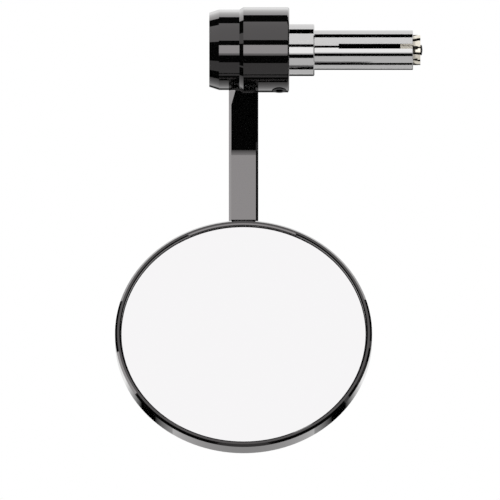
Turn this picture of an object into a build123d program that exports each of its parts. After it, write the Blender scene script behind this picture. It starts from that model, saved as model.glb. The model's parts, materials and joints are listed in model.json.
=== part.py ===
from build123d import *
import os
from math import acos, cos, degrees, radians, sin, sqrt, tan

# Bar end mirror in millimetres. The origin lies on the bar's axis at the seat of the bar's end face,
# +X runs into the bar, the mirror faces -Y and hangs below the bar on a bent arm.

# Expanding insert: a slotted sleeve, a bolt along its axis and a keyed cone nut at its free end
sleeve_diameter = 13.9
sleeve_length = 34.5
sleeve_bore = 8.0
sleeve_chamfer = 0.15
seat_diameter = 18.2
seat_length = 8.8
seat_chamfer = 0.3
spigot_length = 8.8
slot_count = 4
slot_width = 1.75
slot_length = 26.0
slot_turn = 11.3
bolt_diameter = 6.0
bolt_point_length = 1.9
bolt_point_taper = 0.6
bolt_point_diameter = 3.6
bolt_dome = 0.3
bolt_head_diameter = 10.0
bolt_head_height = 6.0
bolt_key_size = 5.0
bolt_key_depth = 3.0
bolt_washer_overhang = 0.2
bolt_washer_thickness = 1.2
bolt_hole_clearance = 0.2
head_bore_clearance = 0.2
cone_angle = 13.0
cone_length = 7.0
cone_diameter = 10.5
cone_collar = 0.95
cone_proud = 2.6
bolt_proud = 0.75
key_width = 1.25
key_turn = 2.4
thread_clearance = 0.04
cone_clearance = 0.06

# Body turned in one piece, with a blind bore for the insert's spigot
body_diameter = 30.0
body_edge_radius = 0.7
step_position = 16.05
step_length = 1.4
nose_diameter = 28.3
nose_taper_length = 3.4
nose_end_diameter = 26.1
running_clearance = 0.04
bore_floor_gap = 0.3
bore_lead = 0.4
grub_position = 3.5
grub_angle = 20.0
grub_diameter = 5.0
grub_proud = 0.15
grub_key_size = 2.5
grub_key_depth = 2.6
grub_edge = 0.3
grub_point_diameter = 3.5
grub_point_length = 1.0
groove_side_clearance = 0.25
groove_depth = 0.4
groove_clearance = 0.05
seal_section = 1.4
seal_clearance = 0.02
seal_land = 0.7

# Arm: a bevelled flat bar with two bends, set in a pocket of the body and ending in a round eye
arm_width = 10.3
arm_thickness = 6.0
arm_bevel = 0.85
arm_lean = 16.0
arm_upper_radius = 33.0
arm_lower_radius = 23.0
arm_upper_length = 35.45
arm_middle_length = 28.45
arm_lower_length = 53.1
arm_root_length = 4.2
arm_fit = 0.03
facet_drop = 19.2
facet_inset = 1.4
pocket_corner_radius = 0.7
pocket_wall = 1.72
end_wall = 2.42
eye_diameter = 15.0
arm_screw_diameter = 4.0
arm_screw_end_gap = 0.75
arm_screw_head_diameter = 7.0
arm_screw_head_height = 4.0
arm_screw_recess = 0.4
arm_screw_key_size = 3.0
arm_screw_key_depth = 2.0
arm_screw_edge = 0.4
counterbore_edge = 0.3
screw_head_clearance = 0.25
screw_hole_clearance = 0.2

# Mirror head: a turned dish with a bevelled rim, a bent glass on a foam pad
mirror_tilt = 28.2
floor_thickness = 1.8
rim_bevel = 0.75
rim_back_bevel = 0.4
rim_land = 0.75
rim_inner_bevel = 0.45
rim_inner_angle = 28.5
rim_wall_draft = 10.0
glass_setback = 1.14
glass_diameter = 85.6
glass_clearance = 0.1
glass_radius = 1200.0
glass_thickness = 2.0
pad_inset = 2.8
pad_thickness = 0.8
back_rise = 1.9
boss_margin = 0.6
boss_fillet = 1.5

# Ball joint: a ball stud in two nylon half shells, held in the dish by a screwed ring
ball_diameter = 10.0
socket_wall = 1.18
liner_thickness = 0.8
ball_clearance = 0.04
liner_gap = 1.5
liner_reach = 2.9
ring_thickness = 4.0
ring_bevel = 0.6
ring_screw_relief = 0.5
neck_diameter = 5.0
stud_diameter = 5.0
stud_reach = 8.0
collar_thickness = 1.5
collar_width = 9.0
stud_washer_diameter = 10.0
stud_washer_thickness = 1.0
spring_washer_diameter = 8.6
spring_washer_thickness = 1.2
spring_washer_gap = 0.8
stud_nut_width = 8.0
stud_nut_height = 4.0
nut_bevel_angle = 30.0
stud_end_length = 1.6
stud_end_bevel = 0.6
ring_screw_count = 3
ring_screw_gap = 1.43
ring_screw_diameter = 2.5
ring_screw_head_diameter = 4.6
ring_screw_length = 8.6
ring_screw_key_size = 1.5
ring_screw_key_depth = 0.9

# Stations along the bar's axis, and the radii that mating pieces share
body_inner = -seat_length
spigot_end = body_inner - spigot_length
bore_floor = spigot_end - bore_floor_gap
arm_station = bore_floor - pocket_wall - arm_fit - arm_width / 2
screw_seat = arm_station - arm_width / 2 - arm_fit - end_wall
body_outer = screw_seat - arm_screw_head_height - arm_screw_recess
head_end = spigot_end
head_seat = head_end + bolt_head_height
head_floor = head_seat + bolt_washer_thickness
slot_start = sleeve_length - slot_length
cone_end = sleeve_length + cone_proud
cone_start = cone_end - cone_length
bolt_end = cone_end + bolt_proud
cone_slope = tan(radians(cone_angle))
collar_start = cone_end - cone_collar
mouth_radius = cone_diameter / 2 - (collar_start - sleeve_length) * cone_slope + cone_clearance
taper_start = sleeve_length - (mouth_radius - sleeve_bore / 2) / cone_slope
bolt_washer_radius = bolt_head_diameter / 2 + bolt_washer_overhang
head_bore_radius = bolt_washer_radius + head_bore_clearance
grub_station = body_inner - grub_position
groove_radius = seat_diameter / 2 - groove_depth
groove_half = grub_point_diameter / 2 + groove_side_clearance
bore_radius = seat_diameter / 2 + running_clearance
seal_radius = bore_radius - seal_clearance - seal_section / 2
seal_seat = seal_radius - seal_section / 2 - seal_clearance
seal_start = spigot_end + seal_land
seal_end = seal_start + seal_section + 2 * seal_clearance

# Radii and depths of the mirror head, each pair of mating pieces from the same values
recess_radius = glass_diameter / 2 + glass_clearance
rim_inner_depth = rim_inner_bevel * tan(radians(rim_inner_angle))
lip_radius = recess_radius + (glass_setback - rim_inner_depth) * tan(radians(rim_wall_draft))
opening_radius = lip_radius + rim_inner_bevel
rim_radius = opening_radius + rim_land + rim_bevel
recess_floor = -(glass_setback + glass_thickness + pad_thickness)
rim_depth = floor_thickness - recess_floor
ball_radius = ball_diameter / 2
liner_inner = ball_radius + ball_clearance
liner_outer = liner_inner + liner_thickness
socket_radius = liner_outer + ball_clearance
ball_depth = socket_radius + socket_wall - recess_floor
ring_screw_hole = ring_screw_diameter / 2 + thread_clearance
ring_screw_circle = socket_radius + ring_screw_gap + ring_screw_hole
boss_radius = ring_screw_circle + ring_screw_head_diameter / 2 + boss_margin

# Directions of the arm's three runs and of the mirror, and the points where the runs meet
arm_down = Vector(0, sin(radians(arm_lean)), -cos(radians(arm_lean)))
mirror_normal = Vector(0, -cos(radians(mirror_tilt)), sin(radians(mirror_tilt)))
mirror_up = Vector(0, sin(radians(mirror_tilt)), cos(radians(mirror_tilt)))
arm_centre = Vector(arm_station, 0, 0)
arm_root = arm_centre - arm_down * arm_root_length
first_bend = arm_centre + arm_down * arm_upper_length
second_bend = first_bend - Vector(0, 0, arm_middle_length)
eye_centre = second_bend - mirror_up * arm_lower_length
eye_front = eye_centre + mirror_normal * (arm_thickness / 2)
eye_back = eye_centre - mirror_normal * (arm_thickness / 2)
ball_centre = eye_front + mirror_normal * stud_reach
mirror_centre = ball_centre + mirror_normal * ball_depth

# Planes: square to the arm's root and to the grub screw, through the ball's axis, and behind the ring
arm_root_plane = Plane(arm_root, x_dir=(1, 0, 0), z_dir=arm_down)
grub_direction = Vector(0, -sin(radians(grub_angle)), -cos(radians(grub_angle)))
grub_plane = Plane((grub_station, 0, 0), x_dir=(1, 0, 0), z_dir=grub_direction)
eye_plane = Plane(eye_back, x_dir=(1, 0, 0), z_dir=mirror_normal)
head_section = Plane(mirror_centre, x_dir=(1, 0, 0), z_dir=Vector(1, 0, 0).cross(mirror_normal))
ball_section = Plane(ball_centre, x_dir=(1, 0, 0), z_dir=head_section.z_dir)
eye_section = Plane(eye_centre, x_dir=(1, 0, 0), z_dir=head_section.z_dir)
mirror_axis = Axis(mirror_centre, mirror_normal)
boss_plane = Plane(ball_centre, x_dir=(1, 0, 0), z_dir=-mirror_normal)
ring_back_plane = boss_plane.offset(ring_thickness)
stud_back_plane = Plane(eye_back, x_dir=(1, 0, 0), z_dir=-mirror_normal)

os.makedirs("parts", exist_ok=True)

# Insert sleeve, turned from bar, drilled from both ends and slotted from its free end.
# Its section is drawn midway between two slots.
finger_turn = 180 / slot_count - slot_turn
with BuildPart() as expander_sleeve:
    with BuildSketch(Plane.XY.rotated((finger_turn, 0, 0))):
        with BuildLine():
            Polyline(
                (spigot_end, head_bore_radius),
                (spigot_end, seat_diameter / 2),
                (seal_start, seat_diameter / 2),
                (seal_start, seal_seat),
                (seal_end, seal_seat),
                (seal_end, seat_diameter / 2),
                (grub_station - groove_half, seat_diameter / 2),
                (grub_station - groove_half, groove_radius),
                (grub_station + groove_half, groove_radius),
                (grub_station + groove_half, seat_diameter / 2),
                (-seat_chamfer, seat_diameter / 2),
                (0, seat_diameter / 2 - seat_chamfer),
                (0, sleeve_diameter / 2),
                (sleeve_length - sleeve_chamfer, sleeve_diameter / 2),
                (sleeve_length, sleeve_diameter / 2 - sleeve_chamfer),
                (sleeve_length, mouth_radius),
                (taper_start, sleeve_bore / 2),
                (slot_start, sleeve_bore / 2),
                (slot_start, bolt_diameter / 2 + bolt_hole_clearance),
                (head_floor, bolt_diameter / 2 + bolt_hole_clearance),
                (head_floor, head_bore_radius),
                close=True,
            )
        make_face()
    revolve(axis=Axis.X)
    with BuildSketch(Plane.YZ.offset(slot_start)):
        with PolarLocations(0, slot_count, start_angle=180 - slot_turn):
            Rectangle(seat_diameter, slot_width, align=(Align.MIN, Align.CENTER))
    extrude(amount=slot_length, mode=Mode.SUBTRACT)
expander_sleeve.part.label = "expander_sleeve"
export_step(expander_sleeve.part, "parts/expander_sleeve.step")

# Cone nut with a key in each slot, so that it slides but cannot turn.
# The keys are narrower than the slots and lie against one side of them.
with BuildPart() as cone_nut:
    with BuildSketch(Plane.XY):
        with BuildLine():
            Polyline(
                (cone_start, 0),
                (cone_start, cone_diameter / 2 - (collar_start - cone_start) * cone_slope),
                (collar_start, cone_diameter / 2),
                (cone_end, cone_diameter / 2),
                (cone_end, 0),
                close=True,
            )
        make_face()
    revolve(axis=Axis.X)
    with BuildSketch(Plane.YZ.offset(cone_start)):
        with PolarLocations(0, slot_count, start_angle=180 - slot_turn + key_turn):
            Rectangle(cone_diameter / 2, key_width, align=(Align.MIN, Align.CENTER))
    extrude(amount=collar_start - cone_start)
    with BuildSketch(Plane.YZ.offset(cone_start)):
        Circle(bolt_diameter / 2 + thread_clearance)
    extrude(amount=cone_length, mode=Mode.SUBTRACT)
cone_nut.part.label = "cone_nut"
export_step(cone_nut.part, "parts/cone_nut.step")

# Socket head bolt that draws the cone nut into the sleeve
dome_radius = ((bolt_point_diameter / 2) ** 2 + bolt_dome**2) / (2 * bolt_dome)
with BuildPart() as expander_bolt:
    with BuildSketch(Plane.XY):
        with BuildLine():
            Polyline(
                (bolt_end, 0),
                (head_end, 0),
                (head_end, bolt_head_diameter / 2),
                (head_seat, bolt_head_diameter / 2),
                (head_seat, bolt_diameter / 2),
                (bolt_end - bolt_point_length, bolt_diameter / 2),
                (bolt_end - bolt_point_length + bolt_point_taper, bolt_point_diameter / 2),
                (bolt_end - bolt_dome, bolt_point_diameter / 2),
            )
            RadiusArc((bolt_end - bolt_dome, bolt_point_diameter / 2), (bolt_end, 0), dome_radius)
        make_face()
    revolve(axis=Axis.X)
    with BuildSketch(Plane.YZ.offset(head_end)):
        RegularPolygon(bolt_key_size / 2, 6, major_radius=False)
    extrude(amount=bolt_key_depth, mode=Mode.SUBTRACT)
expander_bolt.part.label = "expander_bolt"
export_step(expander_bolt.part, "parts/expander_bolt.step")

# Washer under the bolt's head
with BuildPart() as bolt_washer:
    with BuildSketch(Plane.YZ.offset(head_seat)):
        Circle(bolt_washer_radius)
        Circle(bolt_diameter / 2 + bolt_hole_clearance, mode=Mode.SUBTRACT)
    extrude(amount=bolt_washer_thickness)
bolt_washer.part.label = "bolt_washer"
export_step(bolt_washer.part, "parts/bolt_washer.step")

# Rubber ring in the spigot's groove, which steadies the swivel and keeps water out
with BuildPart() as swivel_seal:
    with BuildSketch(Plane.XY):
        with Locations(((seal_start + seal_end) / 2, seal_radius)):
            Circle(seal_section / 2)
    revolve(axis=Axis.X)
swivel_seal.part.label = "swivel_seal"
export_step(swivel_seal.part, "parts/swivel_seal.step")

# Body: a stepped turning with a blind bore, a milled pocket for the arm and holes for its two screws
counterbore_radius = arm_screw_head_diameter / 2 + screw_head_clearance
screw_hole_radius = arm_screw_diameter / 2 + screw_hole_clearance
edge_station = body_inner - body_edge_radius
edge_height = body_diameter / 2 - body_edge_radius
with BuildPart() as bar_end_body:
    with BuildSketch(Plane.XY):
        with BuildLine():
            CenterArc((edge_station, edge_height), body_edge_radius, 0, 90)
            Polyline(
                (edge_station, body_diameter / 2),
                (body_inner - step_position, body_diameter / 2),
                (body_inner - step_position - step_length, nose_diameter / 2),
                (body_outer + nose_taper_length, nose_diameter / 2),
                (body_outer, nose_end_diameter / 2),
                (body_outer, counterbore_radius + counterbore_edge),
                (body_outer + counterbore_edge, counterbore_radius),
                (screw_seat, counterbore_radius),
                (screw_seat, screw_hole_radius),
                (arm_station, screw_hole_radius),
                (arm_station, 0),
                (bore_floor, 0),
                (bore_floor, bore_radius),
                (body_inner - bore_lead, bore_radius),
                (body_inner, bore_radius + bore_lead),
                (body_inner, edge_height),
            )
        make_face()
    revolve(axis=Axis.X)
    with BuildSketch(arm_root_plane):
        RectangleRounded(arm_width + 2 * arm_fit, arm_thickness + 2 * arm_fit, pocket_corner_radius)
    extrude(amount=arm_root_length + body_diameter, mode=Mode.SUBTRACT)
    with BuildSketch(grub_plane):
        Circle(grub_diameter / 2 + thread_clearance)
    extrude(amount=body_diameter, mode=Mode.SUBTRACT)
bar_end_body.part.label = "bar_end_body"
export_step(bar_end_body.part, "parts/bar_end_body.step")

# Grub screw with a dog point that runs in the groove of the spigot
grub_inner = groove_radius + groove_clearance
grub_outer = body_diameter / 2 + grub_proud
with BuildPart() as grub_screw:
    with BuildSketch(grub_plane.offset(grub_inner)):
        Circle(grub_point_diameter / 2)
    extrude(amount=grub_point_length)
    with BuildSketch(grub_plane.offset(grub_inner + grub_point_length)):
        Circle(grub_diameter / 2)
    extrude(amount=grub_outer - grub_inner - grub_point_length)
    chamfer(grub_screw.edges().filter_by(GeomType.CIRCLE).sort_by(Axis.Z)[0], grub_edge)
    with BuildSketch(grub_plane.offset(grub_outer - grub_key_depth)):
        RegularPolygon(grub_key_size / 2, 6, major_radius=False)
    extrude(amount=grub_key_depth, mode=Mode.SUBTRACT)
grub_screw.part.label = "grub_screw"
export_step(grub_screw.part, "parts/grub_screw.step")

# Arm: a bevelled bar section swept along three straight runs with round bends, and a round eye.
# Two upright facets take the front corners off where the leaning bar leaves the body.
facet_front = (facet_drop * sin(radians(arm_lean)) - arm_thickness / 2) / cos(radians(arm_lean))
facet_reach = body_diameter
facet_half = arm_width / 2 - arm_bevel
with BuildPart() as mirror_arm:
    with BuildLine():
        FilletPolyline(
            arm_root,
            first_bend,
            second_bend,
            eye_centre,
            radius=(arm_upper_radius, arm_lower_radius),
        )
    with BuildSketch(arm_root_plane):
        bar_section = Rectangle(arm_width, arm_thickness)
        chamfer(bar_section.vertices(), arm_bevel)
    sweep()
    with BuildSketch(eye_section):
        with BuildLine():
            Polyline(
                (0, -arm_thickness / 2),
                (eye_diameter / 2 - arm_bevel, -arm_thickness / 2),
                (eye_diameter / 2, arm_bevel - arm_thickness / 2),
                (eye_diameter / 2, arm_thickness / 2 - arm_bevel),
                (eye_diameter / 2 - arm_bevel, arm_thickness / 2),
                (0, arm_thickness / 2),
                close=True,
            )
        make_face()
    revolve(axis=mirror_axis)
    with BuildSketch(Plane.XY.offset(-facet_drop)):
        for side in (-1, 1):
            with BuildLine():
                Polyline(
                    (arm_station + side * (facet_half - facet_reach), facet_front - facet_reach),
                    (arm_station + side * (facet_half + facet_reach), facet_front - facet_reach),
                    (arm_station + side * (facet_half + facet_reach), facet_front + facet_reach),
                    close=True,
                )
            make_face()
    extrude(amount=facet_drop - body_diameter / 2 + facet_inset, mode=Mode.SUBTRACT)
    with BuildSketch(eye_plane):
        Circle(stud_diameter / 2 + thread_clearance)
    extrude(amount=arm_thickness, mode=Mode.SUBTRACT)
    with BuildSketch(Plane.YZ.offset(arm_station - arm_width / 2)):
        Circle(arm_screw_diameter / 2 + thread_clearance)
    extrude(amount=arm_width, mode=Mode.SUBTRACT)
mirror_arm.part.label = "mirror_arm"
export_step(mirror_arm.part, "parts/mirror_arm.step")

# Socket screw that draws the arm's root against the wall of its pocket
with BuildPart() as arm_screw:
    with BuildSketch(Plane.YZ.offset(screw_seat - arm_screw_head_height)):
        Circle(arm_screw_head_diameter / 2)
    extrude(amount=arm_screw_head_height)
    chamfer(arm_screw.edges().sort_by(Axis.X)[0], arm_screw_edge)
    with BuildSketch(Plane.YZ.offset(screw_seat)):
        Circle(arm_screw_diameter / 2)
    extrude(amount=end_wall + arm_fit + arm_width - arm_screw_end_gap)
    with BuildSketch(Plane.YZ.offset(screw_seat - arm_screw_head_height)):
        RegularPolygon(arm_screw_key_size / 2, 6, major_radius=False)
    extrude(amount=arm_screw_key_depth, mode=Mode.SUBTRACT)
arm_screw.part.label = "arm_screw"
export_step(arm_screw.part, "parts/arm_screw.step")

# Ball stud: ball, neck, hexagon collar on the front of the eye and a threaded shank through it
neck_angle = degrees(acos(neck_diameter / 2 / ball_radius))
neck_start = -sqrt(ball_radius**2 - (neck_diameter / 2) ** 2)
nut_seat = stud_washer_thickness + spring_washer_thickness
stud_end = -(stud_reach + arm_thickness + nut_seat + stud_nut_height + stud_end_length)
with BuildPart() as ball_stud:
    with BuildSketch(ball_section):
        with BuildLine():
            CenterArc((0, 0), ball_radius, 90, -90 - neck_angle)
            Polyline(
                (neck_diameter / 2, neck_start),
                (neck_diameter / 2, -stud_reach),
                (0, -stud_reach),
                (0, ball_radius),
            )
        make_face()
    revolve(axis=mirror_axis)
    with BuildSketch(ball_section):
        with BuildLine():
            Polyline(
                (0, -stud_reach),
                (stud_diameter / 2, -stud_reach),
                (stud_diameter / 2, stud_end + stud_end_bevel),
                (stud_diameter / 2 - stud_end_bevel, stud_end),
                (0, stud_end),
                close=True,
            )
        make_face()
    revolve(axis=mirror_axis)
    with BuildSketch(boss_plane.offset(stud_reach - collar_thickness)):
        RegularPolygon(collar_width / 2, 6, major_radius=False)
    extrude(amount=collar_thickness)
ball_stud.part.label = "ball_stud"
export_step(ball_stud.part, "parts/ball_stud.step")

# Washer, split spring washer and nut behind the arm's eye
with BuildPart() as stud_washer:
    with BuildSketch(stud_back_plane):
        Circle(stud_washer_diameter / 2)
        Circle(stud_diameter / 2 + thread_clearance, mode=Mode.SUBTRACT)
    extrude(amount=stud_washer_thickness)
stud_washer.part.label = "stud_washer"
export_step(stud_washer.part, "parts/stud_washer.step")

with BuildPart() as spring_washer:
    with BuildSketch(stud_back_plane.offset(stud_washer_thickness)):
        Circle(spring_washer_diameter / 2)
        Circle(stud_diameter / 2 + thread_clearance, mode=Mode.SUBTRACT)
        Rectangle(
            spring_washer_diameter,
            spring_washer_gap,
            align=(Align.MIN, Align.CENTER),
            mode=Mode.SUBTRACT,
        )
    extrude(amount=spring_washer_thickness)
spring_washer.part.label = "spring_washer"
export_step(spring_washer.part, "parts/spring_washer.step")

nut_corner_radius = stud_nut_width / sqrt(3)
nut_bevel = (nut_corner_radius - stud_nut_width / 2) * tan(radians(nut_bevel_angle))
nut_plane = stud_back_plane.offset(nut_seat)
nut_section = Plane(nut_plane.origin, x_dir=(1, 0, 0), z_dir=head_section.z_dir)
with BuildPart() as stud_nut:
    with BuildSketch(nut_plane):
        RegularPolygon(stud_nut_width / 2, 6, major_radius=False)
        Circle(stud_diameter / 2 + thread_clearance, mode=Mode.SUBTRACT)
    extrude(amount=stud_nut_height)
    with BuildSketch(nut_section):
        with BuildLine():
            Polyline(
                (0, 0),
                (stud_nut_width / 2, 0),
                (nut_corner_radius, -nut_bevel),
                (nut_corner_radius, nut_bevel - stud_nut_height),
                (stud_nut_width / 2, -stud_nut_height),
                (0, -stud_nut_height),
                close=True,
            )
        make_face()
    revolve(axis=mirror_axis, mode=Mode.INTERSECT)
stud_nut.part.label = "stud_nut"
export_step(stud_nut.part, "parts/stud_nut.step")

# Nylon half shells round the ball, apart at the equator so that each can swing by itself
with BuildPart() as liner_front:
    with BuildSketch(ball_section):
        Circle(liner_outer)
        Circle(liner_inner, mode=Mode.SUBTRACT)
        with Locations((0, liner_gap / 2)):
            Rectangle(liner_outer, liner_outer, align=Align.MIN, mode=Mode.INTERSECT)
    revolve(axis=mirror_axis)
liner_front.part.label = "liner_front"
export_step(liner_front.part, "parts/liner_front.step")

with BuildPart() as liner_rear:
    with BuildSketch(ball_section):
        Circle(liner_outer)
        Circle(liner_inner, mode=Mode.SUBTRACT)
        with Locations((0, -liner_gap / 2)):
            Rectangle(
                liner_outer,
                liner_reach - liner_gap / 2,
                align=(Align.MIN, Align.MAX),
                mode=Mode.INTERSECT,
            )
    revolve(axis=mirror_axis)
liner_rear.part.label = "liner_rear"
export_step(liner_rear.part, "parts/liner_rear.step")

# Dish: rim, recess for the glass, a low conical back and a boss with the front half of the socket
back_height = -(rim_depth + back_rise)
with BuildPart() as mirror_housing:
    with BuildSketch(head_section):
        with BuildLine():
            Polyline(
                (0, socket_radius - ball_depth),
                (0, recess_floor),
                (recess_radius, recess_floor),
                (recess_radius, -glass_setback),
                (lip_radius, -rim_inner_depth),
                (opening_radius, 0),
                (opening_radius + rim_land, 0),
                (rim_radius, -rim_bevel),
                (rim_radius, rim_back_bevel - rim_depth),
                (rim_radius - rim_back_bevel, -rim_depth),
                (boss_radius + boss_fillet, back_height),
            )
            CenterArc((boss_radius + boss_fillet, back_height - boss_fillet), boss_fillet, 90, 90)
            Polyline(
                (boss_radius, back_height - boss_fillet),
                (boss_radius, -ball_depth),
                (socket_radius, -ball_depth),
            )
            CenterArc((0, -ball_depth), socket_radius, 0, 90)
        make_face()
    revolve(axis=mirror_axis)
    with Locations(boss_plane):
        with PolarLocations(ring_screw_circle, ring_screw_count, start_angle=90):
            Hole(ring_screw_hole, depth=ring_screw_length - ring_thickness + ring_screw_relief)
mirror_housing.part.label = "mirror_housing"
export_step(mirror_housing.part, "parts/mirror_housing.step")

# Ring with the rear half of the socket, open at the back for the swing of the ball's neck
ring_opening = sqrt(socket_radius**2 - ring_thickness**2)
ring_angle = degrees(acos(ring_opening / socket_radius))
with BuildPart() as socket_ring:
    with BuildSketch(ball_section):
        with BuildLine():
            CenterArc((0, 0), socket_radius, 0, -ring_angle)
            Polyline(
                (ring_opening, -ring_thickness),
                (boss_radius - ring_bevel, -ring_thickness),
                (boss_radius, ring_bevel - ring_thickness),
                (boss_radius, 0),
                (socket_radius, 0),
            )
        make_face()
    revolve(axis=mirror_axis)
    with Locations(ring_back_plane):
        with PolarLocations(ring_screw_circle, ring_screw_count, start_angle=90):
            CounterSinkHole(
                ring_screw_hole,
                ring_screw_head_diameter / 2 + thread_clearance,
                depth=ring_thickness,
                counter_sink_angle=90,
            )
socket_ring.part.label = "socket_ring"
export_step(socket_ring.part, "parts/socket_ring.step")

# Countersunk screws through the ring into the boss
ring_screw_head_height = (ring_screw_head_diameter - ring_screw_diameter) / 2
with BuildPart() as ring_screws:
    with Locations(ring_back_plane):
        with PolarLocations(ring_screw_circle, ring_screw_count, start_angle=90):
            Cylinder(
                ring_screw_diameter / 2,
                ring_screw_length,
                align=(Align.CENTER, Align.CENTER, Align.MAX),
            )
            Cone(
                ring_screw_diameter / 2,
                ring_screw_head_diameter / 2,
                ring_screw_head_height,
                align=(Align.CENTER, Align.CENTER, Align.MAX),
            )
    with BuildSketch(ring_back_plane):
        with PolarLocations(ring_screw_circle, ring_screw_count, start_angle=90):
            RegularPolygon(ring_screw_key_size / 2, 6, major_radius=False)
    extrude(amount=-ring_screw_key_depth, mode=Mode.SUBTRACT)
ring_screws.part.label = "ring_screws"
export_step(ring_screws.part, "parts/ring_screws.step")

# Convex glass of even thickness on a foam pad that fills the space behind it
glass_edge = glass_diameter / 2
glass_sag = glass_radius - sqrt(glass_radius**2 - glass_edge**2)
back_radius = glass_radius - glass_thickness
back_sag = back_radius - sqrt(back_radius**2 - glass_edge**2)
pad_edge = glass_edge - pad_inset
pad_sag = back_radius - sqrt(back_radius**2 - pad_edge**2)
glass_back = glass_sag - glass_setback - glass_thickness
with BuildPart() as mirror_glass:
    with BuildSketch(head_section):
        with BuildLine():
            RadiusArc((0, glass_sag - glass_setback), (glass_edge, -glass_setback), glass_radius)
            Line((glass_edge, -glass_setback), (glass_edge, glass_back - back_sag))
            RadiusArc((glass_edge, glass_back - back_sag), (0, glass_back), -back_radius)
            Line((0, glass_back), (0, glass_sag - glass_setback))
        make_face()
    revolve(axis=mirror_axis)
mirror_glass.part.label = "mirror_glass"
export_step(mirror_glass.part, "parts/mirror_glass.step")

with BuildPart() as mirror_pad:
    with BuildSketch(head_section):
        with BuildLine():
            RadiusArc((0, glass_back), (pad_edge, glass_back - pad_sag), back_radius)
            Polyline(
                (pad_edge, glass_back - pad_sag),
                (pad_edge, recess_floor),
                (0, recess_floor),
                (0, glass_back),
            )
        make_face()
    revolve(axis=mirror_axis)
mirror_pad.part.label = "mirror_pad"
export_step(mirror_pad.part, "parts/mirror_pad.step")
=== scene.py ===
import json
from math import cos, pi, radians, sin, tau
import bmesh
import bpy
from mathutils import Matrix, Vector


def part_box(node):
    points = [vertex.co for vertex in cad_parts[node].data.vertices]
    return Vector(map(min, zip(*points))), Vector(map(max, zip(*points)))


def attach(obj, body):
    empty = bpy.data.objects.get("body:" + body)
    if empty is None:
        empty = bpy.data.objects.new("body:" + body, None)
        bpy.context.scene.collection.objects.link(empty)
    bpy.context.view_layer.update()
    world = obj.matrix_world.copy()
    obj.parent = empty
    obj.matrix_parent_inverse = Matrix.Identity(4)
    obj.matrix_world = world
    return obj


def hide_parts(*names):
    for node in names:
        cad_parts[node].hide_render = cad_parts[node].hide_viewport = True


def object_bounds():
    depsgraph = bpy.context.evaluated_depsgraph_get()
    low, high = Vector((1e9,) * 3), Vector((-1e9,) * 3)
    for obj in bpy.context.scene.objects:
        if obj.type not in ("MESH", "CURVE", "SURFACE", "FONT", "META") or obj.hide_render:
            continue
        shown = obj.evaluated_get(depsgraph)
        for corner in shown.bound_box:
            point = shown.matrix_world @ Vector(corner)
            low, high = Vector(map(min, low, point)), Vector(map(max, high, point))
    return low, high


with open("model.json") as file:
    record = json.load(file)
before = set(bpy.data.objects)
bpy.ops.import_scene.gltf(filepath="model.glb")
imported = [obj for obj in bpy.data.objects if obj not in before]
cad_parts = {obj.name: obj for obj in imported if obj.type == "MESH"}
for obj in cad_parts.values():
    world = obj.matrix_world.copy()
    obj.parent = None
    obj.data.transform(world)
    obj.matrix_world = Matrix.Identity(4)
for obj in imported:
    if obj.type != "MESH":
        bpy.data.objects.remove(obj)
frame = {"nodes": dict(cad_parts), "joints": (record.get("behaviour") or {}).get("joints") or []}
nodes = frame["nodes"]
cad_low, cad_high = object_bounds()
mm = 0.001


# Expander sleeve: the silver insert that goes into the handlebar, a thick seat and a thin sleeve.
# It is turned from aluminium bar, sawn into four fingers and left bright.
# Turning leaves fine rings round the axis, which draw out the highlights a little along it.
def linear(hex_colour):
    """Turn an sRGB hex colour into linear RGBA."""
    shades = [int(hex_colour[i:i + 2], 16) / 255 for i in (1, 3, 5)]
    return [s / 12.92 if s <= 0.04045 else ((s + 0.055) / 1.055) ** 2.4 for s in shades] + [1.0]


def add(tree, kind, settings, links=None):
    """Add one node, with its properties and socket values, and the sockets that feed it."""
    node = tree.nodes.new(kind)
    for name, value in settings.items():
        if isinstance(name, int) or name in node.inputs:
            node.inputs[name].default_value = value
        else:
            setattr(node, name, value)
    for name, source in (links or {}).items():
        tree.links.new(source, node.inputs[name])
    return node


def new_material(name, hex_colour, metallic, roughness, ior=None):
    """Start a material from its shader's own uniform values."""
    material = bpy.data.materials.new(name)
    material.use_nodes = True
    shader = material.node_tree.nodes["Principled BSDF"]
    shader.inputs["Base Color"].default_value = linear(hex_colour)
    shader.inputs["Metallic"].default_value = metallic
    shader.inputs["Roughness"].default_value = roughness
    if ior:
        shader.inputs["IOR"].default_value = ior
    return material, material.node_tree, shader


def dress(material, *names):
    """Give CAD nodes a finish."""
    for name in names:
        for slot in nodes[name].material_slots:
            slot.material = material


turned_aluminium, tree, shader = new_material("turned_aluminium", "#d0cfcf", 1.0, 0.07)
place = add(tree, "ShaderNodeTexCoord", {}).outputs["Object"]
# Real tool marks are about 0.1 mm apart, too fine to show, so these are drawn coarser.
tool_marks = 0.45 * mm
bands_per_scale = 20 / tau
rings = add(tree, "ShaderNodeTexWave",
            {"bands_direction": "X", "Scale": 1 / (bands_per_scale * tool_marks),
             "Distortion": 0.6, "Detail": 2.0}, {"Vector": place})
handled_patch = 9 * mm
handling = add(tree, "ShaderNodeTexNoise", {"Scale": 1 / handled_patch, "Detail": 2.0}, {"Vector": place})
worn = add(tree, "ShaderNodeMapRange", {"To Min": 0.05, "To Max": 0.08},
           {"Value": handling.outputs["Fac"]})
tree.links.new(worn.outputs["Result"], shader.inputs["Roughness"])
mark_depth = 0.02 * mm
ridges = add(tree, "ShaderNodeBump", {"Strength": 0.02, "Distance": mark_depth},
             {"Height": rings.outputs["Fac"]})
tree.links.new(ridges.outputs["Normal"], shader.inputs["Normal"])
dress(turned_aluminium, "expander_sleeve")


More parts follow.
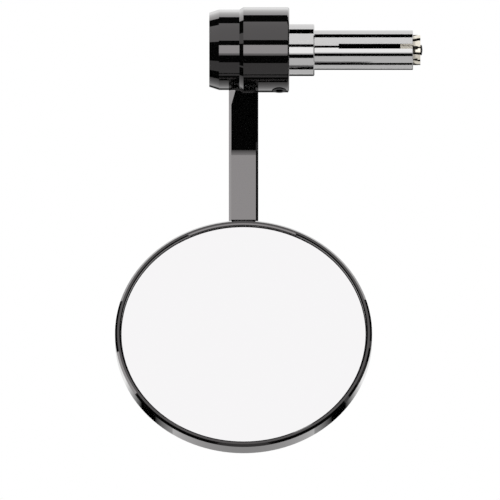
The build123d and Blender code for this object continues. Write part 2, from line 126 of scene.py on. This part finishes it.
# Cone nut: the cone at the sleeve's free end, with a key in each slot.
# It is turned and milled from brass and plated with pale nickel, a little uneven in tone.
# The milled keys are duller than the turned end that stands out of the sleeve.
plated_brass, tree, shader = new_material("nickel_plated_brass", "#f1ebde", 1.0, 0.1)
place = add(tree, "ShaderNodeTexCoord", {}).outputs["Object"]
turned_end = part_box("expander_sleeve")[1].x
finish_change = 0.3 * mm
along = add(tree, "ShaderNodeSeparateXYZ", {}, {"Vector": place}).outputs["X"]
milled = add(tree, "ShaderNodeMapRange", {"From Min": turned_end - finish_change, "From Max": turned_end,
                                          "To Min": 0.34, "To Max": 0.1}, {"Value": along})
tree.links.new(milled.outputs["Result"], shader.inputs["Roughness"])
plating_patch = 2 * mm
plating = add(tree, "ShaderNodeTexNoise", {"Scale": 1 / plating_patch, "Detail": 3.0}, {"Vector": place})
tone = add(tree, "ShaderNodeMix", {"data_type": "RGBA", "A": linear("#f6f1e6"), "B": linear("#ebe3d1")})
tree.links.new(plating.outputs["Fac"], tone.inputs["Factor"])
tree.links.new(tone.outputs["Result"], shader.inputs["Base Color"])
dress(plated_brass, "cone_nut")


# Bolt washer: a plain steel ring under the bolt's head, stamped and zinc plated.
# Zinc plating is bluish grey and faintly cloudy.
zinc_plate, tree, shader = new_material("zinc_plated_steel", "#b9bcc0", 1.0, 0.25)
place = add(tree, "ShaderNodeTexCoord", {}).outputs["Object"]
cloud_size = 1.5 * mm
cloud = add(tree, "ShaderNodeTexNoise", {"Scale": 1 / cloud_size, "Detail": 5.0}, {"Vector": place})
dull = add(tree, "ShaderNodeMapRange", {"To Min": 0.18, "To Max": 0.34}, {"Value": cloud.outputs["Fac"]})
tree.links.new(dull.outputs["Result"], shader.inputs["Roughness"])
dress(zinc_plate, "bolt_washer")


# Expander bolt: the M6 bolt along the sleeve's axis, seen through the slots and beyond the cone.
# It is steel with a rolled thread, a short round point and a black oxide finish, oily and half dull.
black_oxide, tree, shader = new_material("black_oxide_steel", "#1a1a1c", 1.0, 0.3)
place = add(tree, "ShaderNodeTexCoord", {}).outputs["Object"]
oil_spot = 0.6 * mm
grain = add(tree, "ShaderNodeTexNoise", {"Scale": 1 / oil_spot, "Detail": 4.0}, {"Vector": place})
oiled = add(tree, "ShaderNodeMapRange", {"To Min": 0.2, "To Max": 0.36}, {"Value": grain.outputs["Fac"]})
tree.links.new(oiled.outputs["Result"], shader.inputs["Roughness"])


def new_piece(name, bm, material, body, sharp=30):
    """Close a bmesh into an object that rides on a body, smooth but for its sharp edges."""
    mesh = bpy.data.meshes.new(name)
    seam_width = 0.002 * mm
    bmesh.ops.remove_doubles(bm, verts=bm.verts, dist=seam_width)
    bmesh.ops.recalc_face_normals(bm, faces=bm.faces)
    bm.to_mesh(mesh)
    bm.free()
    mesh.shade_smooth()
    mesh.set_sharp_from_angle(angle=radians(sharp))
    mesh.materials.append(material)
    piece = bpy.data.objects.new(name, mesh)
    bpy.context.scene.collection.objects.link(piece)
    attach(piece, body)
    return piece


def turn(bm, outline, steps=64):
    """Turn an outline of (along, out) points round the X axis, in millimetres."""
    points = [bm.verts.new((along * mm, 0, out * mm)) for along, out in outline]
    edges = [bm.edges.new(pair) for pair in zip(points, points[1:])]
    bmesh.ops.spin(bm, geom=points + edges, cent=(0, 0, 0), axis=(1, 0, 0), dvec=(0, 0, 0),
                   angle=tau, steps=steps, use_merge=True)


bolt_low, bolt_high = (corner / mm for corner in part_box("expander_bolt"))
head_radius = bolt_high.z
head_length = 6.0
head_chamfer = 0.5
socket_radius = 2.9
socket_depth = 3
thread_radius = 3.0
thread_pitch = 1.0
thread_depth = 0.6
thread_start = 6.0
thread_turns = 30
thread_steps = 32
shank_end = thread_start + 0.6
core_start = thread_start + 1.2
core_end = bolt_high.x - 1.9
core_radius = thread_radius - thread_depth
point_radius = 1.8
point_start = bolt_high.x - 1.3
# The point's rounding, as distances from its tip and shares of its radius.
point_round = [(0.3, 1), (0.22, 0.85), (0.08, 0.5), (0, 0)]
bm = bmesh.new()
turn(bm, [(bolt_low.x, head_radius - head_chamfer), (bolt_low.x + head_chamfer, head_radius),
          (bolt_low.x + head_length, head_radius), (bolt_low.x + head_length, thread_radius),
          (shank_end, thread_radius), (core_start, core_radius),
          (core_end, core_radius), (point_start, point_radius)]
     + [(bolt_high.x - back, share * point_radius) for back, share in point_round])
rim = [edge for edge in bm.edges if edge.is_boundary and edge.verts[0].co.x < 0]
head_face = Matrix.Translation((bolt_low.x * mm, 0, 0)) @ Matrix.Rotation(pi / 2, 4, "Y")
socket = bmesh.ops.create_circle(bm, segments=6, radius=socket_radius * mm, matrix=head_face)["verts"]
mouth = list(dict.fromkeys(edge for vert in socket for edge in vert.link_edges))
bmesh.ops.bridge_loops(bm, edges=rim + mouth)
floor_ring = bmesh.ops.extrude_edge_only(bm, edges=mouth)["geom"]
sunk = [item for item in floor_ring if isinstance(item, bmesh.types.BMVert)]
bmesh.ops.translate(bm, verts=sunk, vec=(socket_depth * mm, 0, 0))
bmesh.ops.contextual_create(bm, geom=sunk)
# One turn of the ridge, as shares of the pitch and depths below the crest.
thread_profile = [(0, thread_depth), (0.44, 0), (0.56, 0), (1, thread_depth)]
flank = [bm.verts.new(((thread_start + share * thread_pitch) * mm, 0, (thread_radius - depth) * mm))
         for share, depth in thread_profile]
ridge = [bm.edges.new(pair) for pair in zip(flank, flank[1:])]
run_out = bmesh.ops.spin(bm, geom=flank + ridge, cent=(0, 0, 0), axis=(1, 0, 0),
                         dvec=(thread_pitch * mm / thread_steps, 0, 0), angle=tau * thread_turns,
                         steps=thread_steps * thread_turns, use_merge=False)["geom_last"]
bmesh.ops.contextual_create(bm, geom=flank)
bmesh.ops.contextual_create(bm, geom=[item for item in run_out if isinstance(item, bmesh.types.BMVert)])
threaded_bolt = new_piece("threaded_bolt", bm, black_oxide, "bolt")
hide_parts("expander_bolt")


# Swivel seal: the ring in the spigot's groove that steadies the swivel and keeps water out.
# It is moulded in black nitrile rubber, greased and half dull.
rubber, tree, shader = new_material("nitrile_rubber", "#121212", 0.0, 0.5, 1.52)
place = add(tree, "ShaderNodeTexCoord", {}).outputs["Object"]
grease_smear = 1.5 * mm
grease = add(tree, "ShaderNodeTexNoise", {"Scale": 1 / grease_smear, "Detail": 3.0}, {"Vector": place})
slick = add(tree, "ShaderNodeMapRange", {"To Min": 0.35, "To Max": 0.6}, {"Value": grease.outputs["Fac"]})
tree.links.new(slick.outputs["Result"], shader.inputs["Roughness"])
dress(rubber, "swivel_seal")


# Body: the turned piece that caps the bar's end and carries the arm, with a stepped, tapered nose.
# It is aluminium, polished and anodised gloss black: a dark metal under a clear, hard oxide skin,
# whose dye gives the reflections a faint warm cast.
black_anodised, tree, shader = new_material("black_anodised_aluminium", "#060606", 0.0, 0.05, 1.55)
shader.inputs["Coat Weight"].default_value = 1.0
shader.inputs["Coat IOR"].default_value = 1.55
shader.inputs["Coat Roughness"].default_value = 0.02
shader.inputs["Specular Tint"].default_value = linear("#fff4f6")
place = add(tree, "ShaderNodeTexCoord", {}).outputs["Object"]
polished_patch = 15 * mm
polish = add(tree, "ShaderNodeTexNoise", {"Scale": 1 / polished_patch, "Detail": 2.0}, {"Vector": place})
gloss = add(tree, "ShaderNodeMapRange", {"To Min": 0.03, "To Max": 0.055},
            {"Value": polish.outputs["Fac"]})
tree.links.new(gloss.outputs["Result"], shader.inputs["Roughness"])
dress(black_anodised, "bar_end_body")


# Grub screw: the set screw in the body's underside, whose point runs in the insert's groove.
# It is black oxide steel with a hexagon socket.
dress(black_oxide, "grub_screw")


# Arm: the flat bar with bevelled edges that hangs from the body and ends in an eye.
# It is milled and bent from aluminium, with the body's black finish.
dress(black_anodised, "mirror_arm")


# Arm screw: the socket screw in the nose's end face that holds the arm's root.
# It is black oxide steel.
dress(black_oxide, "arm_screw")


# Ball stud with its washers and nut: the steel ball behind the mirror, clamped in the arm's eye.
# All four are zinc plated steel, and the split washer keeps the nut tight.
dress(zinc_plate, "ball_stud", "stud_washer", "spring_washer", "stud_nut")


# Half shells: the two bearing cups between the ball and its socket, moulded in natural nylon.
# Nylon is milky, a little waxy and lets some light in.
nylon, tree, shader = new_material("natural_nylon", "#dedacb", 0.0, 0.42, 1.53)
shader.inputs["Subsurface Weight"].default_value = 0.15
shader.inputs["Subsurface Scale"].default_value = 1 * mm
place = add(tree, "ShaderNodeTexCoord", {}).outputs["Object"]
flow_mark = 1.2 * mm
flow = add(tree, "ShaderNodeTexNoise", {"Scale": 1 / flow_mark, "Detail": 3.0}, {"Vector": place})
waxy = add(tree, "ShaderNodeMapRange", {"To Min": 0.36, "To Max": 0.5}, {"Value": flow.outputs["Fac"]})
tree.links.new(waxy.outputs["Result"], shader.inputs["Roughness"])
dress(nylon, "liner_front", "liner_rear")


# Dish and ring: the turned dish that holds the glass, and the ring that closes the ball's socket.
# Both are aluminium with the body's black finish.
dress(black_anodised, "mirror_housing", "socket_ring")


# Ring screws: three countersunk screws through the ring, black oxide steel.
# Their heads lie flush with the ring's back.
dress(black_oxide, "ring_screws")


# Pad: the black foam, sticky on both sides, that bonds the glass to the dish.
# It is open grained and quite dull.
foam, tree, shader = new_material("adhesive_foam", "#141414", 0.0, 0.95)
place = add(tree, "ShaderNodeTexCoord", {}).outputs["Object"]
cell_size = 0.5 * mm
cell_depth = 0.1 * mm
cells = add(tree, "ShaderNodeTexVoronoi", {"Scale": 1 / cell_size}, {"Vector": place})
pores = add(tree, "ShaderNodeBump", {"Strength": 0.4, "Distance": cell_depth},
            {"Height": cells.outputs["Distance"]})
tree.links.new(pores.outputs["Normal"], shader.inputs["Normal"])
dress(foam, "mirror_pad")


# Glass: the round convex reflector in the dish, bent from thin float glass and silvered.
# A new mirror is clean, even and almost white where it faces the sky.
silvered_glass, tree, shader = new_material("silvered_glass", "#faf9fa", 1.0, 0.01)
place = add(tree, "ShaderNodeTexCoord", {}).outputs["Object"]
dust_patch = 12 * mm
dust = add(tree, "ShaderNodeTexNoise", {"Scale": 1 / dust_patch, "Detail": 3.0}, {"Vector": place})
haze = add(tree, "ShaderNodeMapRange", {"To Min": 0.004, "To Max": 0.016}, {"Value": dust.outputs["Fac"]})
tree.links.new(haze.outputs["Result"], shader.inputs["Roughness"])

head_joint = next(joint for joint in frame["joints"] if joint["name"] == "mirror_spin")
ball_centre = Vector(head_joint["pos_m"])
mirror_normal = Vector(head_joint["axis"])
glass_low, glass_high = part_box("mirror_glass")
glass_radius = (glass_high.x - glass_low.x) / 2 / mm
glass_edge = 9.86
glass_thickness = 2.0
glass_bend = 1200.0
glass_rings = 8
ground_edge = 0.1
bm = bmesh.new()
front = [(glass_edge + (glass_radius**2 - out**2) / 2 / glass_bend, out)
         for out in (glass_radius * ring / glass_rings for ring in range(glass_rings))]
back = [(along - glass_thickness, out) for along, out in reversed(front)]
turn(bm, front + [(glass_edge, glass_radius - ground_edge), (glass_edge - ground_edge, glass_radius),
                  (glass_edge - glass_thickness, glass_radius)] + back, steps=128)
facing = Vector((1, 0, 0)).rotation_difference(mirror_normal).to_matrix().to_4x4()
bmesh.ops.transform(bm, verts=bm.verts, matrix=Matrix.Translation(ball_centre) @ facing)
glass = new_piece("convex_glass", bm, silvered_glass, "mirror_head", sharp=20)
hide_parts("mirror_glass")


# Studio panels: a dark tent round the bar's axis with light cards in it, whose gaps show as dark bands.
# One set of cards is too bright for metal or too dim for black gloss, so each finish has its own,
# the glass has an even sky, and the dish has a little more light from below.
bright_metal = bpy.data.collections.new("bright_metal")
dark_gloss = bpy.data.collections.new("dark_gloss")
mirror_face = bpy.data.collections.new("mirror_face")
mirror_face.objects.link(glass)
mirror_dish = bpy.data.collections.new("mirror_dish")
mirror_dish.objects.link(nodes["mirror_housing"])
for piece in [*nodes.values(), threaded_bolt]:
    bright = piece.active_material in (turned_aluminium, plated_brass, zinc_plate)
    (bright_metal if bright else dark_gloss).objects.link(piece)


def card_material(name, low, high, low_glow, high_glow, see_through):
    """An even or fading glow, by the height in degrees up from the camera's side.

    A card for one finish is see-through, so that the others reflect what stands behind it.
    """
    material = bpy.data.materials.new(name)
    material.use_nodes = True
    tree = material.node_tree
    tree.nodes.clear()
    place = add(tree, "ShaderNodeTexCoord", {}).outputs["Object"]
    axes = add(tree, "ShaderNodeSeparateXYZ", {}, {"Vector": place})
    toward = add(tree, "ShaderNodeMath", {"operation": "MULTIPLY", 1: -1.0}, {0: axes.outputs["Y"]})
    height = add(tree, "ShaderNodeMath", {"operation": "ARCTAN2"},
                 {0: axes.outputs["Z"], 1: toward.outputs["Value"]})
    glow = add(tree, "ShaderNodeMapRange",
               {"From Min": radians(low), "From Max": radians(high),
                "To Min": low_glow, "To Max": high_glow},
               {"Value": height.outputs["Value"]})
    light = add(tree, "ShaderNodeEmission", {}, {"Strength": glow.outputs["Result"]})
    clear = add(tree, "ShaderNodeBsdfTransparent", {"Color": (1, 1, 1, 1) if see_through else (0, 0, 0, 1)})
    card = add(tree, "ShaderNodeAddShader", {}, {0: light.outputs["Emission"], 1: clear.outputs["BSDF"]})
    add(tree, "ShaderNodeOutputMaterial", {}, {"Surface": card.outputs["Shader"]})
    return material


def stage_card(name, bm, material, lit):
    """Put a card in the studio, out of the picture and out of the floor's light."""
    mesh = bpy.data.meshes.new(name)
    bm.to_mesh(mesh)
    bm.free()
    mesh.materials.append(material)
    card = bpy.data.objects.new(name, mesh)
    bpy.context.scene.collection.objects.link(card)
    card.visible_camera = False
    card.visible_diffuse = False
    card.visible_shadow = False
    card.light_linking.receiver_collection = lit


def panel(name, low, high, low_glow, high_glow, left, right, lit, reach):
    """A card curved round the bar's axis, from one height to another, in degrees and metres."""
    bm = bmesh.new()
    toward, up = -cos(radians(low)) * reach, sin(radians(low)) * reach
    ends = [bm.verts.new((x, toward, up)) for x in (left, right)]
    edge = bm.edges.new(ends)
    bmesh.ops.spin(bm, geom=[*ends, edge], cent=(0, 0, 0), axis=(1, 0, 0), dvec=(0, 0, 0),
                   angle=radians(low - high), steps=36, use_merge=False)
    stage_card(name, bm, card_material(name, low, high, low_glow, high_glow, lit is not None), lit)


def end_card(name, x, inner, outer, glow, lit):
    """A round card or a ring across one end of the tent, in metres."""
    bm = bmesh.new()
    ends = [bm.verts.new((x, 0, radius)) for radius in (inner, outer)]
    edge = bm.edges.new(ends)
    bmesh.ops.spin(bm, geom=[*ends, edge], cent=(0, 0, 0), axis=(1, 0, 0), dvec=(0, 0, 0),
                   angle=tau, steps=48, use_merge=True)
    bmesh.ops.remove_doubles(bm, verts=bm.verts, dist=mm)
    stage_card(name, bm, card_material(name, -1, 1, glow, glow, lit is not None), lit)


# Each set stands at a distance of its own, so that no two cards lie in one place.
tent_reach = 2.2
metal_reach = 2.1
gloss_reach = 2.0
dish_reach = 1.95
glass_reach = 1.9
tent_end = 4.6
wide = 4.2
panel("dark_tent", -180, 180, 0, 0, -tent_end, tent_end, None, tent_reach)
for name, low, high, low_glow, high_glow in (
        ("glass_sky", -8, 180, 0.966, 0.966),
        ("glass_front", -28, -8, 0.27, 0.27),
        ("glass_lower_edge", -48, -42, 0.32, 0.02),
        ("glass_lower", -180, -48, 0.32, 0.32)):
    panel(name, low, high, low_glow, high_glow, -wide, wide, mirror_face, glass_reach)
for name, low, high, low_glow, high_glow, left, right in (
        ("gloss_upper", 27, 82.5, 0.92, 0.95, -1.5, 1.5),
        ("gloss_upper_left", 27, 82.5, 0.6, 0.6, -wide, -2.8),
        ("gloss_sky", 109, 145, 1.75, 1.75, -2.2, 2.1),
        ("gloss_sky_edge", 145, 180, 1.75, 0.35, -2.2, 2.1),
        ("gloss_front", -8.5, 13.5, 2.8, 2.8, -0.86, 0.86),
        ("gloss_front_edge", -15, -8.5, 0.6, 1.9, -0.86, 0.86),
        ("gloss_lower", -69, -35.5, 0.36, 0.36, -2.9, 2.9),
        ("gloss_floor", -136, -97, 0.98, 0.36, -wide, wide),
        ("gloss_floor_edge", -146, -136, 0.05, 0.98, -wide, wide),
        ("gloss_back_edge", -169, -156, 1.35, 0.05, -3.0, 3.0),
        ("gloss_back", -180, -169, 0.5, 1.35, -3.0, 3.0)):
    panel(name, low, high, low_glow, high_glow, left, right, dark_gloss, gloss_reach)
panel("dish_floor", -136, -97, 0.56, 0.22, -wide, wide, mirror_dish, dish_reach)
for name, low, high, low_glow, high_glow, left, right in (
        ("metal_upper", 26, 78.5, 0.95, 0.98, -wide, 1.5),
        ("metal_sky", 106, 180, 0.97, 0.97, -wide, 3.0),
        ("metal_front", -13, 13, 1.28, 1.28, -wide, 1.0),
        ("metal_front_edge", -20, -13, 0.3, 1.0, -wide, 1.0),
        ("metal_lower", -80, -36, 0.67, 0.67, -wide, wide),
        ("metal_floor", -140, -97, 0.68, 0.68, -wide, wide),
        ("metal_back", -180, -172, 0.6, 0.1, -3.0, 3.0),
        ("metal_back_right", -172, -140, 0.6, 0.6, 2.0, wide)):
    panel(name, low, high, low_glow, high_glow, left, right, bright_metal, metal_reach)
for name, x, inner, outer, glow, lit in (
        ("glass_left", -4.0, 0, tent_reach, 0.6, mirror_face),
        ("glass_right", 4.0, 0, tent_reach, 0.6, mirror_face),
        ("left_card", -4.2, 0, 1.3, 2.7, None),
        ("left_end", -4.25, 0, tent_reach, 0, None),
        ("metal_right", 4.1, 0.5, 1.98, 0.4, bright_metal),
        ("gloss_right_inner", 4.15, 0.5, 0.95, 0.15, dark_gloss),
        ("gloss_right", 4.15, 1.45, 1.75, 0.4, dark_gloss),
        ("right_end", 4.2, 0, tent_reach, 0, None)):
    end_card(name, x, inner, outer, glow, lit)


# Floor, lamp and background: a pale paper floor, one wide soft lamp above it and a white background.
# The background is white to the camera and in reflections, and lights the object a little less.
floor_drop = 115 * mm
floor_half_width = 4.0
floor_mesh = bpy.data.meshes.new("floor")
bm = bmesh.new()
bmesh.ops.create_grid(bm, x_segments=1, y_segments=1, size=floor_half_width,
                      matrix=Matrix.Translation((0, 0, cad_low.z - floor_drop)))
bm.to_mesh(floor_mesh)
bm.free()
floor = bpy.data.objects.new("floor", floor_mesh)
bpy.context.scene.collection.objects.link(floor)
floor.visible_glossy = False
floor_mesh.materials.append(new_material("pale_paper", "#efefee", 0.0, 0.9)[0])

lamp_width = 1.2
lamp_watts = 12
lamp_place = Vector((-0.3, -0.5, 1.2))
lamp = bpy.data.objects.new("soft_lamp", bpy.data.lights.new("soft_lamp", "AREA"))
lamp.data.size = lamp_width
lamp.data.energy = lamp_watts
lamp.location = lamp_place
lamp.rotation_euler = (-lamp_place).to_track_quat("-Z", "Y").to_euler()
lamp.visible_glossy = False
bpy.context.scene.collection.objects.link(lamp)

world = bpy.data.worlds.new("white_background")
bpy.context.scene.world = world
world.use_nodes = True
tree = world.node_tree
backdrop = tree.nodes["Background"]
backdrop.inputs["Color"].default_value = (1, 1, 1, 1)
ray = add(tree, "ShaderNodeLightPath", {})
seen = add(tree, "ShaderNodeMath", {"operation": "MAXIMUM"},
           {0: ray.outputs["Is Camera Ray"], 1: ray.outputs["Is Glossy Ray"]})
shown = add(tree, "ShaderNodeMath", {"operation": "MAXIMUM"},
            {0: seen.outputs["Value"], 1: ray.outputs["Is Transmission Ray"]})
lighting, white = 0.7, 1.0
level = add(tree, "ShaderNodeMapRange", {"To Min": lighting, "To Max": white},
            {"Value": shown.outputs["Value"]})
tree.links.new(level.outputs["Result"], backdrop.inputs["Strength"])


# Camera: level and square to the bar, without perspective, so that nothing narrows with distance.
# The picture is 500 pixels wide, at 0.35 mm for each.
picture_width = 175 * mm
picture_centre = Vector((-22.54 * mm, 0, -69.98 * mm))
camera_distance = 1.0
camera = bpy.data.objects.new("camera", bpy.data.cameras.new("camera"))
camera.data.type = "ORTHO"
camera.data.ortho_scale = picture_width
camera.location = picture_centre - Vector((0, camera_distance, 0))
camera.rotation_euler = (pi / 2, 0, 0)
bpy.context.scene.collection.objects.link(camera)
bpy.context.scene.camera = camera
bpy.context.scene.view_settings.view_transform = "Standard"
